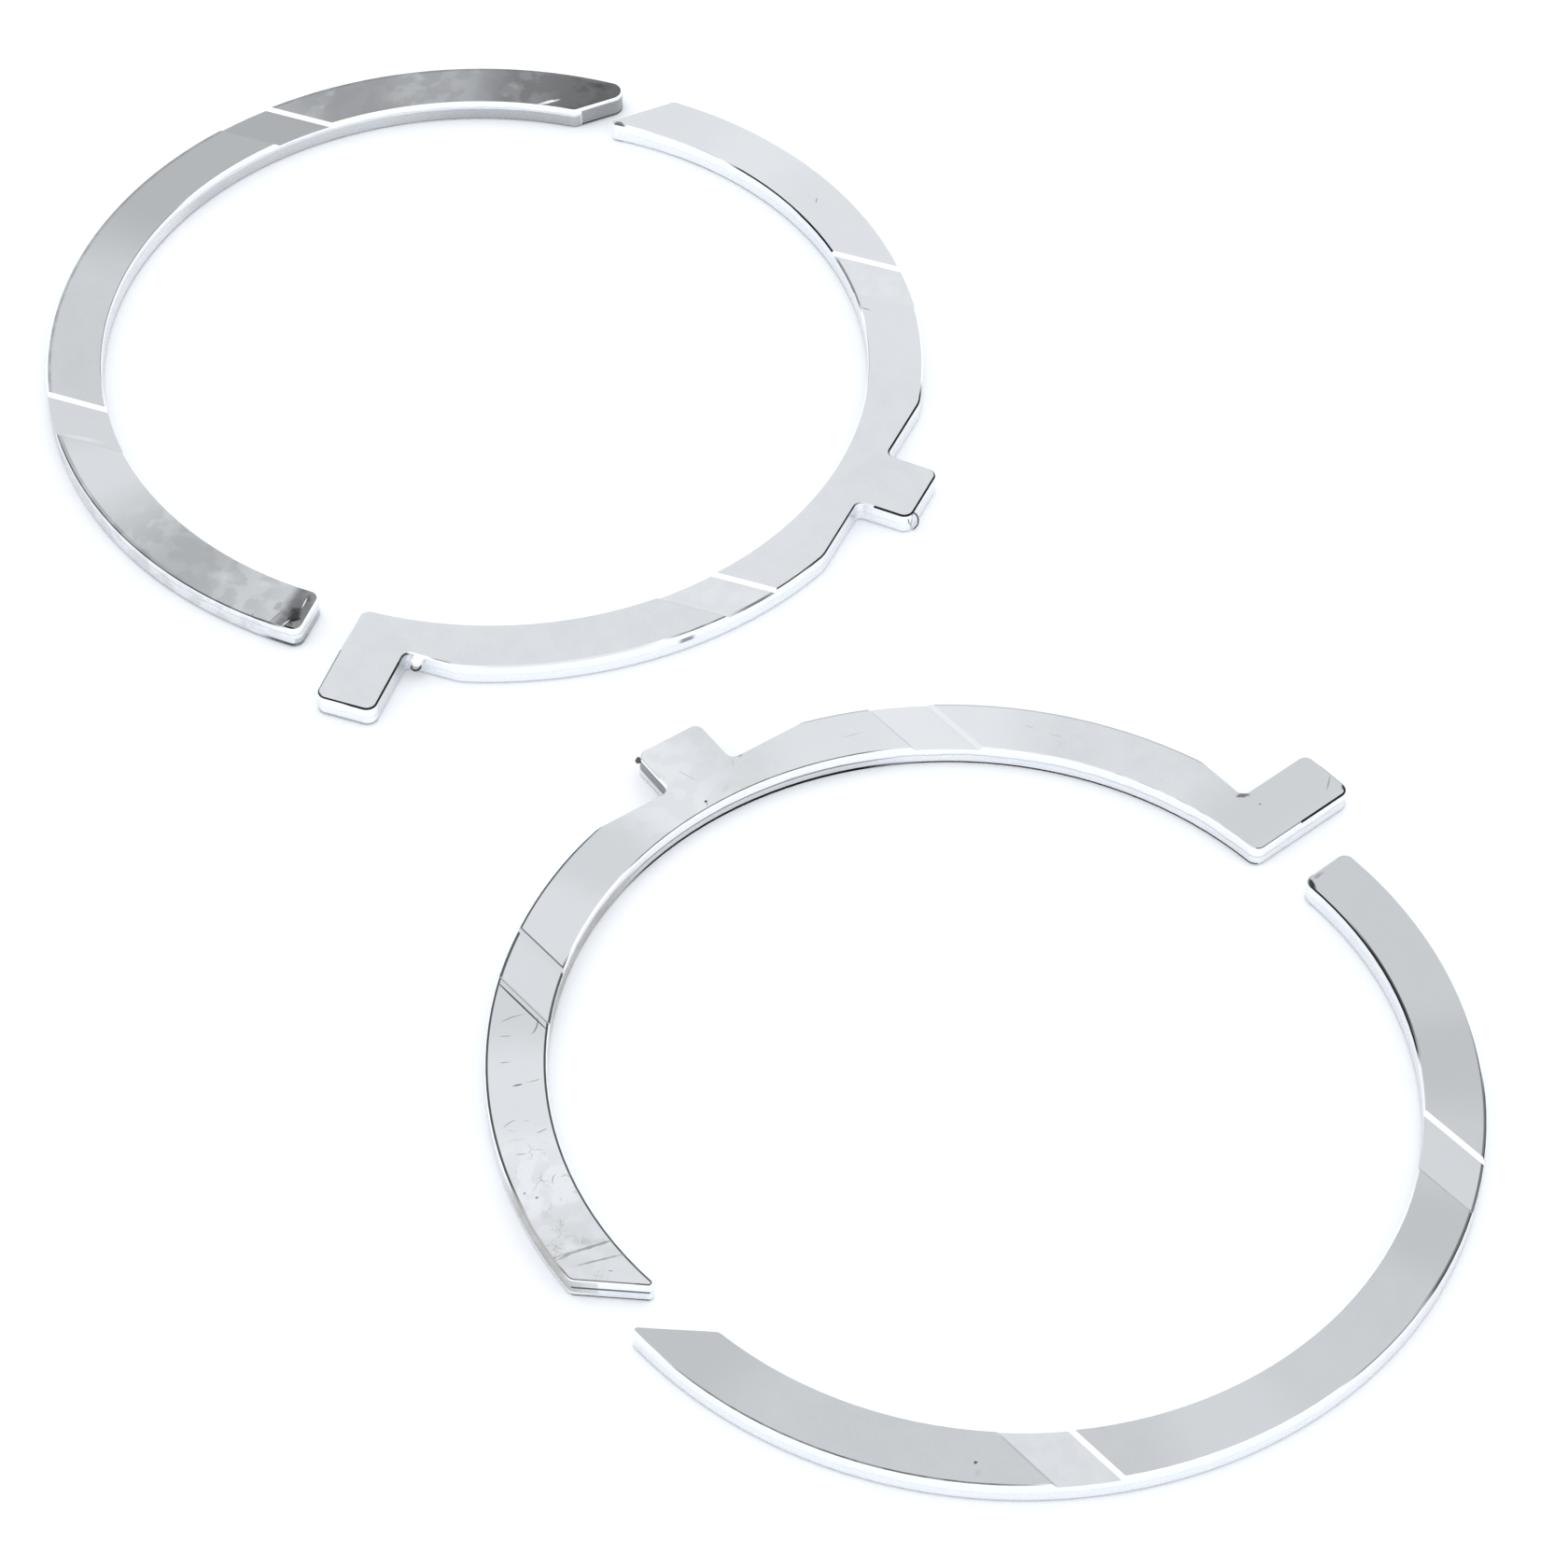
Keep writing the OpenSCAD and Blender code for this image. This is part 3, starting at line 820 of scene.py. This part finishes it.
SCRATCHED_STEEL = SteelFinish(
    "ScratchedSteel", 1, face=0.6, cloud=0.65, groove=0.66, ramp=0.7, far_ramp=0.72, low_wall=0.86, seam=0.25,
    seam_strength=0.35, seam_level=0.52, foot_shadow=0.1, foot_shadow_strength=0.5, hair_share=0.35, hair_strength=0.16,
    veins=(Veins(150, 178, 2.7, 0.25, 0.5, 0.035, 0.38), Veins(156, 180, 1.2, 0.35, 0.4, 0.06, 0.36)),
    stretches={
        Region.FACE: (*arcs(ALL, (-2, 12, 0.545, 0.9, 5), (40, 60, 0.71, 0.75, 6), (84, 96, 0.715, 0.9),
            (99, 111, 0.57, 0.9), (112, 124, 0.63, 0.8, 3), (125, 138, 0.57, 0.9), (140, 152, 0.66, 0.9),
            (153, 168, 0.735, 0.95), (168, 186, 0.65, 0.9), (60, 74, 0.665, 0.8)),
            *arcs(ALL, (76, 102, 0.55, 0.25, 3), (156, 178, 0.52, 0.3), uneven=1.0),
            *arcs((64.5, 64.78), (10, 78, 0.3, 0.5, 3), (92, 104, 0.3, 0.5, 2)),
            *arcs((64.55, 64.8), (101, 164, 0.015, 0.9)), *arcs((56.7, 56.93), (124, 185, 0.015, 0.9, 2))),
        Region.GROOVE: (*arcs(ALL, (40, 62, 0.705, 0.9), (112, 142, 0.61, 0.85)),
            *arcs((64.6, 66), (112, 142, 0.05, 0.9)), *arcs((50, 56.85), (112, 142, 0.05, 0.9))),
        # the first run dims part of the painted reflection on the groove side; the second draws a dark line along the
        # top of the ramps
        Region.RAMP: arcs(ALL, (112, 126.8, 0.56, 0.9, 0.8), (110, 145, 0.1, 0.85, 3, 0.955)),
        Region.EDGE: (*arcs(OUTER_EDGE, (104, 164, 0.03, 0.95, 3, 0.965)),
            *arcs(INNER_EDGE, (122, 190, 0.03, 0.95, 2, 0.965)), *arcs(INNER_EDGE, (60, 104, 0.05, 0.9, 3, 0.965),
            uneven=0.1), *arcs(INNER_EDGE, (0, 30, 0.25, 0.6, 3, 0.965), (30, 60, 0.3, 0.4, 3, 0.965), uneven=0.4),
            *arcs(TAB, (-3, 5, 0.015, 1, 1)), *arcs((57, 65.3), (-3, 3, 0.12, 0.85, 1, 0.96)),
            *arcs(OUTER_EDGE, (161, 175.2, 0.37, 0.95, 1.2), warm=0.5),
            *arcs((55.5, 65.4), (174, 192, 0.06, 0.9, 1, 0.965)), *arcs(TAB, (88, 96, 0.2, 0.7, 1, 0.975))),
        # painted shadow: the dark runs that end low on a wall, at a top of 0.22 or less, are contact shadow lines at
        # its foot
        Region.WALL: (*arcs(INNER_WALL, (60, 106, 0.7, 0.85, 6, -1, 0.5), (60, 104, 0.1, 0.85, 4, 0.48, 0.54),
            (58, 104, 0.005, 1, 5, -1, 0.21), (-2, 58, 0.02, 0.95, 5, -1, 0.155)),
            *arcs(INNER_WALL, (104, 134, 0.4, 0.85, 5, -1, 0.72), uneven=0.2, warm=0.5),
            *arcs(OUTER_WALL, (160, 178, 0.38, 0.85, 4, 0.28), uneven=0.15, warm=0.5),
            *arcs(CUT, (172, 195, 0.08, 0.9, 1, 0.5, 0.6), (172, 195, 0.04, 0.95, 1, -1, 0.13)),
            *arcs((63.2, 70.5), (87, 92, 0.24, 0.95, 1, 0.38))),
    },
    marks={
        Region.FACE: (*marks((-35.4, 45, 4.9, 0.7, -132, 0.12, 0.8, 0.4), deep=True),
            *marks((-43, 44.3, 4.3, 0.24, -16, 0.2, 0.8), bow=0.3), *marks((-41.4, 40.9, 3.8, 0.26, 37, 0.15, 0.85),
            bow=-0.5), *marks((-39.8, 40.8, 2.5, 0.26, -88, 0.15, 0.85), bow=0.3),
            *marks((-45.8, 42.3, 2, 0.2, -36, 0.25, 0.8), (-48.7, 38.7, 1.9, 0.2, -34, 0.25, 0.8),
            (-49.8, 34.5, 1.8, 0.3, -23, 0.06, 0.95), (-47.7, 33.7, 2.6, 0.2, -22, 0.25, 0.8)),
            *marks((-54.8, 30.1, 3.1, 0.2, 1, 0.25, 0.8), bow=0.3), *marks((-52.1, 26.2, 2.2, 0.2, -9, 0.2, 0.8),
            (-56.8, 24.9, 2.1, 0.2, -35, 0.25, 0.8), (-52.7, 20.7, 1.5, 0.22, -80, 0.2, 0.8)),
            *marks((-56.1, 18.9, 2.3, 0.2, 42, 0.25, 0.8), bow=0.4), *marks((-59.7, 17.8, 0.6, 0.5, 0, 0.15, 0.8),
            (-60.5, 19.4, 0.5, 0.4, 0, 0.2, 0.7), (-60.7, 14.9, 3, 2, 90, 0.5, 0.5, 0.4, 1),
            (-59.9, 7, 11, 0.6, 161, 0.25, 0.8, 0.3), (-63.2, 7.8, 3.8, 0.4, 170, 0.3, 0.7, 0.3),
            (-59.6, 4.3, 9.5, 0.42, 157, 0.28, 0.75, 0.25), (-59.6, 8, 6.5, 1.5, 148, 0.4, 0.5, 0.5, 1),
            (-59.7, 2, 0.9, 0.25, -48, 0.15, 0.8), (-63, 8, 2.4, 1.2, 100, 0.4, 0.5, 0.3, 1),
            (-60.6, 10, 4.5, 2.6, 100, 0.48, 0.5, 0.6, 1), (-61.2, 8.8, 4, 2, 80, 0.78, 0.5, 0.6, 1)),
            *marks((2.7, 57.7, 0.7, 0.6, 0, 0.03, 0.95), deep=True), *marks((2.5, 57.2, 0.9, 0.25, -130, 0.2, 0.8),
            (11.7, 61.75, 2.4, 0.8, -40, 0.25, 0.75, 0.3), (3.8, 63.2, 4.1, 0.3, -76, 0.45, 0.6),
            (10.4, 60.9, 2.2, 0.22, -130, 0.4, 0.6), (6.5, 57.8, 2.4, 1.4, 20, 0.5, 0.4, 0.15, 1),
            (27, 54, 4.2, 0.25, -21, 0.42, 0.6), (40.4, 39.6, 0.8, 0.7, 0, 1, 0.9),
            (47.8, 38.7, 1.8, 0.22, -67, 0.4, 0.6), (49.5, 35.2, 2.5, 0.22, -59, 0.4, 0.6),
            (32.8, 52, 1.4, 0.22, -102, 0.4, 0.6), (62.5, 9.2, 3.2, 1, -35, 0.12, 0.85, 0.4),
            (-40.72, 45.1, 14, 0.34, 90, 0.06, 0.9, 0.03, 0.3)), *marks((73.4, 3.1, 4, 0.3, -144, 0.25, 0.75),
            warm=1.0), *marks((63.1, 6.5, 0.4, 0.4, 0, 0.1, 0.8), (74.6, 1, 2.2, 1, 60, 0.03, 0.95))),
        Region.EDGE: marks((-0.6, 63.7, 2, 1.4, 100, 0.08, 0.95)),
        Region.WALL: marks((-0.6, 63.7, 2, 1.4, 100, 0.08, 0.95)),
    })

WORN_STEEL = SteelFinish(
    "WornSteel", -1, face=0.51, cloud=0.535, groove=0.62, low_wall=0.92, foot_shadow_strength=0.35,
    stretches={
        Region.FACE: (*arcs(ALL, (-186, -168, 0.47, 0.9, 5), (-113, -97, 0.575, 0.9, 5), (-96, -86, 0.54, 0.8),
            (-71, -58, 0.47, 0.9), (-44, -29, 0.47, 0.9, 5), (-28, 0, 0.52, 0.6)),
            *arcs((64.52, 64.78), (-75, -34, 0.1, 0.8)), *arcs((56.7, 56.98), (-33, -12, 0.03, 0.9, 5))),
        Region.GROOVE: (*arcs(ALL, (-64, -40, 0.57, 0.85)), *arcs((64.62, 65.2), (-62, -44, 0.08, 0.85))),
        Region.EDGE: (*arcs(INNER_EDGE, (-36, 0, 0.015, 1, 2, 0.94), (-60, -36, 0.3, 0.6, 4, 0.965)),
            *arcs(OUTER_EDGE, (-75, -40, 0.02, 0.95, 3, 0.945), (-90, -75, 0.15, 0.85, 3, 0.96)),
            *arcs(OUTER_EDGE, (-176, -130, 0.04, 0.9, 4, 0.955), uneven=0.15)),
    },
    marks={
        Region.FACE: (*marks((58.8, -1, 2, 0.9, 0, 0.2, 0.6, 0.4), (57, -1.4, 3, 1.1, -103, 0.02, 0.95)),
            *marks((-45.1, -42.1, 0.7, 0.6, 0, 0.06, 0.9), deep=True),
            *marks((-45.9, -43.4, 1.6, 0.9, 30, 0.42, 0.5, 0.4, 1))),
    })

# ---- the halves


@dataclass(frozen=True)
class WasherHalf:
    """One half of a thrust washer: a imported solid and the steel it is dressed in."""

    node: str
    centre: Pair
    turn: float
    finish: SteelFinish

    def dress(self, effects: Effects) -> None:
        """Puts the half's steel into every material slot of its solid.

        Args:
            effects: The shared node groups.
        """
        desk = HalfDesk(self.finish.name, effects, self.finish.side, self.centre, self.turn)
        steel_made = self.finish.material(desk)
        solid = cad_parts[self.node]
        if not solid.material_slots:
            solid.data.materials.append(None)
        for slot in solid.material_slots:
            slot.link = "OBJECT"
            slot.material = steel_made
        log.info("%s dressed in %s", self.node, self.finish.name)


@dataclass(frozen=True)
class WasherPair:
    """The four halves of the two washers, each with its own place in millimetres, turn in degrees and finish."""

    halves: tuple[WasherHalf, ...] = (
        WasherHalf("first_washer_plain_half", (-40.142, 72.418), -109.8, DULL_STEEL),
        WasherHalf("first_washer_tabbed_half", (-34.922, 69.795), -109.1, GROUND_STEEL),
        WasherHalf("second_washer_tabbed_half", (33.392, -66.646), 40.5, SCRATCHED_STEEL),
        WasherHalf("second_washer_plain_half", (40.142, -72.418), 41.7, WORN_STEEL))

    def build(self) -> None:
        """Dresses every half."""
        effects = Effects()
        for half in self.halves:
            half.dress(effects)


# ---- burrs


def add_mesh(name: str, points: np.ndarray, faces: list[list[int]], material: Material) -> bpy.types.Object:
    """Makes an object and puts it into the scene.

    Args:
        name: The object's name.
        points: Its points, in metres.
        faces: The points of each face, in order.
        material: What it is made of.

    Returns:
        The object.
    """
    mesh = bpy.data.meshes.new(name)
    mesh.from_pydata(points.tolist(), [], faces)
    mesh.materials.append(material)
    piece = bpy.data.objects.new(name, mesh)
    bpy.context.scene.collection.objects.link(piece)
    return piece


@dataclass(frozen=True)
class Burr:
    """A knob or bead of metal left on an edge, or a dark tube that stands for a line of shadow or reflection: a
    closed tube along a smooth path that swells and thins.

    The path and the radii are in millimetres, and the first points lie inside the solid that carries it.
    """

    name: str
    path: tuple[Triple, ...]
    radii: tuple[float, ...]
    tone: float
    # painted shade on the underside
    underside_shade_tone: float
    ripple: float = 0.12
    steps: int = 40
    sides: int = 18

    def surface(self) -> tuple[np.ndarray, list[list[int]]]:
        """The tube's points and faces.

        With s from 0 to 1 along the path and t once around it, the point is
        C(s) + r(s) * w(s, t) * (cos t * N + sin t * B). C and r are cubic curves through the given points, N and B
        stand square to the path, and w = 1 + ripple * sin(3t + 9s) roughens it. The radius eases to nothing at the
        ends by the square root of 1 - |2s - 1|^8, and a pole closes the tube there.

        Returns:
            The points in metres and the faces, which look outwards.
        """
        given = np.linspace(0.0, 1.0, len(self.path))
        s = np.linspace(0.0, 1.0, self.steps)
        centre = np.stack([self.smooth(given, column, s) for column in np.array(self.path).T], axis=1)
        radius = np.maximum(self.smooth(given, np.array(self.radii), s), 0.01)
        radius = radius * np.sqrt(np.clip(1.0 - np.abs(2.0 * s - 1.0) ** 8, 0.0004, 1.0))
        ahead = np.gradient(centre, s, axis=0)
        ahead /= np.linalg.norm(ahead, axis=1, keepdims=True)
        slanted = np.array([0.83, 0.21, 0.51])
        across = np.cross(ahead, slanted)
        across /= np.linalg.norm(across, axis=1, keepdims=True)
        beside = np.cross(ahead, across)
        t = np.linspace(0.0, 2.0 * np.pi, self.sides, endpoint=False)
        swell = radius[:, None] * (1.0 + self.ripple * np.sin(3.0 * t + 9.0 * s[:, None]))
        spokes = np.cos(t)[:, None] * across[:, None] + np.sin(t)[:, None] * beside[:, None]
        rings = centre[:, None] + swell[..., None] * spokes
        points = np.concatenate([rings.reshape(-1, 3), centre[:1], centre[-1:]]) * MM
        ring = np.arange(self.steps * self.sides).reshape(self.steps, self.sides)
        after = np.roll(ring, -1, axis=1)
        quads = np.stack([ring[:-1], after[:-1], after[1:], ring[1:]], axis=-1).reshape(-1, 4)
        first, last = np.full(self.sides, ring.size), np.full(self.sides, ring.size + 1)
        fans = np.concatenate([np.stack([first, after[0], ring[0]], axis=-1),
                               np.stack([last, ring[-1], after[-1]], axis=-1)])
        return points, quads.tolist() + fans.tolist()

    @staticmethod
    def smooth(given: np.ndarray, values: np.ndarray, at: np.ndarray) -> np.ndarray:
        """A cubic curve through the given values, with slopes taken from their neighbours.

        Args:
            given: Where the values stand, evenly spaced.
            values: The values.
            at: Where the curve is read.

        Returns:
            The curve's values.
        """
        gap = given[1] - given[0]
        slope = np.gradient(values, gap)
        left = np.clip((at / gap).astype(int), 0, len(given) - 2)
        u = at / gap - left
        return ((2 * u**3 - 3 * u**2 + 1) * values[left] + (u**3 - 2 * u**2 + u) * gap * slope[left]
                + (3 * u**2 - 2 * u**3) * values[left + 1] + (u**3 - u**2) * gap * slope[left + 1])

    def material(self) -> Material:
        """Torn steel: clouded tones, rough and slightly dented, with painted shade where it faces down.

        Returns:
            The material.
        """
        desk = SteelDesk(f"{self.name}_steel")
        cloud = desk.noise(desk.placed(desk.point, size=TO_MM), 1.7, 3.0, 0.6)
        _, _, up = desk.split(desk.normal)
        colour = desk.tint(desk.band(cloud, 0.35, 0.65), steel(self.tone), steel(self.tone * 1.2))
        # painted shade where the surface faces down
        colour = desk.tint(desk.band(up, -0.25, -0.5), colour, steel(self.underside_shade_tone))
        rough, height = desk.band(cloud, 0.3, 0.7, 0.28, 0.45), desk.times(cloud, 0.05)
        return desk.finished(colour, rough, height, strength=0.4)

    def build(self) -> None:
        """Makes the burr, smooth all over, and lets it ride with the washers."""
        piece = add_mesh(self.name, *self.surface(), self.material())
        piece.data.polygons.foreach_set("use_smooth", np.ones(len(piece.data.polygons), dtype=bool))
        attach(piece, "root")
        log.info("%s built", self.name)


@dataclass(frozen=True)
class Burrs:
    """A knob and a bead of metal that hang on the tabs, and dark tubes that stand for two reflection lines on a
    rounded tab corner and for the shadow under the bead.
    """

    pieces: tuple[Burr, ...] = (
        # painted reflection: the next two dark tubes stand for the dark reflection lines on the rounded corner of a
        # tab's wall
        Burr("long_corner_reflection",
             ((27.9, 37.45, 3.25), (28.62, 37.2, 3.0), (28.98, 37.0, 2.2), (28.92, 36.85, 1.25),
              (28.55, 36.7, 0.6), (28.1, 36.6, 0.16)),
             (0.13, 0.13, 0.12, 0.12, 0.11, 0.04), 0.10, 0.06),
        Burr("short_corner_reflection",
             ((27.5, 37.0, 3.0), (27.5, 36.5, 2.7), (27.62, 36.35, 2.0), (27.95, 36.4, 1.3)),
             (0.1, 0.1, 0.08, 0.03), 0.28, 0.2),
        Burr("tab_knob",
             ((-11.2, -12.7, 3.05), (-11.6, -12.75, 3.05), (-12.0, -12.8, 3.0), (-12.35, -12.82, 2.95)),
             (0.3, 0.44, 0.42, 0.15), 0.09, 0.04, 0.18),
        Burr("root_bead",
             ((-44.5, 7.4, 2.75), (-44.75, 6.9, 2.65), (-44.95, 6.3, 2.55), (-45.05, 5.75, 2.45)),
             (0.7, 0.9, 0.88, 0.4), 0.9, 0.02, 0.05),
        # painted shadow: a dark tube that stands for the shadow crescent under the bead
        Burr("bead_shadow_tube",
             ((-45.29, 6.57, 2.35), (-45.62, 6.1, 1.95), (-45.13, 5.7, 1.75), (-44.46, 5.93, 1.75),
              (-44.07, 6.52, 2.0)),
             (0.08, 0.12, 0.17, 0.17, 0.06), 0.08, 0.04, 0.05))

    def build(self) -> None:
        """Builds every burr."""
        for piece in self.pieces:
            piece.build()


# ---- studio


@dataclass(frozen=True)
class Studio:
    """Pale floor, soft light and the camera at the photograph's angle.

    The camera's aim and distance are in millimetres, its focal length and frame in pixels, and its angles in
    degrees. The floor and the lamps are in metres and watts.
    """

    aim: Triple = (9.125, -17.585, 3.6)
    elevation: float = 48.54
    distance: float = 757.7
    focal: float = 5666.0
    frame_px: float = 1680.0
    roll: float = 0.45
    sensor: float = 36.0
    clip: Pair = (0.01, 20.0)
    exposure: float = 0.25
    floor_size: float = 6.0
    floor_points: int = 9
    card: Colour = (0.95, 0.965, 0.99, 1.0)
    room: Colour = (0.97, 0.985, 1.0, 1.0)
    lamp_place: Triple = (1.9, -0.2, 1.3)
    lamp_size: float = 1.2
    lamp_power: float = 0.8

    def floor(self) -> None:
        """A flat sheet under the halves, two parameters across it, in pale matt card."""
        card = bpy.data.materials.new("PaleCard")
        card.use_nodes = True
        shader = card.node_tree.nodes["Principled BSDF"]
        shader.inputs["Base Color"].default_value = self.card
        shader.inputs["Roughness"].default_value = 0.9
        shader.inputs["Specular IOR Level"].default_value = 0.1
        side = np.linspace(-0.5, 0.5, self.floor_points) * self.floor_size
        x, y = np.meshgrid(side, side, indexing="ij")
        at = np.arange(x.size).reshape(x.shape)
        quads = np.stack([at[:-1, :-1], at[1:, :-1], at[1:, 1:], at[:-1, 1:]], axis=-1).reshape(-1, 4)
        points = np.stack([x, y, np.zeros_like(x)], axis=-1).reshape(-1, 3)
        sheet = add_mesh("floor", points, quads.tolist(), card)

    def put(self, name: str, data: bpy.types.ID, place: Vector, ahead: Vector) -> bpy.types.Object:
        """Puts a lamp or a camera into the scene.

        Args:
            name: Its name.
            data: The lamp or the camera.
            place: Where it stands, in metres.
            ahead: The way it looks.

        Returns:
            The object.
        """
        made = bpy.data.objects.new(name, data)
        made.location = place
        made.rotation_mode = "QUATERNION"
        made.rotation_quaternion = ahead.to_track_quat("-Z", "Y")
        bpy.context.scene.collection.objects.link(made)
        return made

    def light(self) -> None:
        """White surroundings, and a broad faint light on the left and on the right that looks at the middle."""
        world = bpy.data.worlds.new("WhiteRoom")
        world.use_nodes = True
        room = world.node_tree.nodes["Background"]
        room.inputs["Color"].default_value = self.room
        room.inputs["Strength"].default_value = 1.0
        bpy.context.scene.world = world
        for name, side in (("left", -1.0), ("right", 1.0)):
            data = bpy.data.lights.new(name, "AREA")
            data.shape = "SQUARE"
            data.size = self.lamp_size
            data.energy = self.lamp_power
            place = Vector((side * self.lamp_place[0], *self.lamp_place[1:]))
            self.put(name, data, place, -place)

    def camera(self) -> None:
        """The camera: aim point, elevation, distance and roll as the photograph has them."""
        e = math.radians(self.elevation)
        back = Vector((0.0, -math.cos(e), math.sin(e)))
        data = bpy.data.cameras.new("camera")
        data.sensor_fit = "HORIZONTAL"
        data.sensor_width = self.sensor
        data.lens = self.focal / self.frame_px * self.sensor
        data.clip_start, data.clip_end = self.clip
        camera = self.put("camera", data, (Vector(self.aim) + back * self.distance) * MM, -back)
        camera.rotation_quaternion @= Quaternion((0.0, 0.0, 1.0), math.radians(self.roll))
        bpy.context.scene.camera = camera

    def build(self) -> None:
        """Sets floor, light, camera and the plain display of colours."""
        self.floor()
        self.light()
        self.camera()
        view = bpy.context.scene.view_settings
        view.view_transform = "Standard"
        view.look = "None"
        view.exposure = self.exposure
        log.info("studio set")


def main() -> None:
    """Builds the halves, the burrs and the studio, in that order."""
    logging.basicConfig(level=logging.INFO, format="%(name)s: %(message)s")
    WasherPair().build()
    Burrs().build()
    Studio().build()


if __name__ == "__main__":
    main()
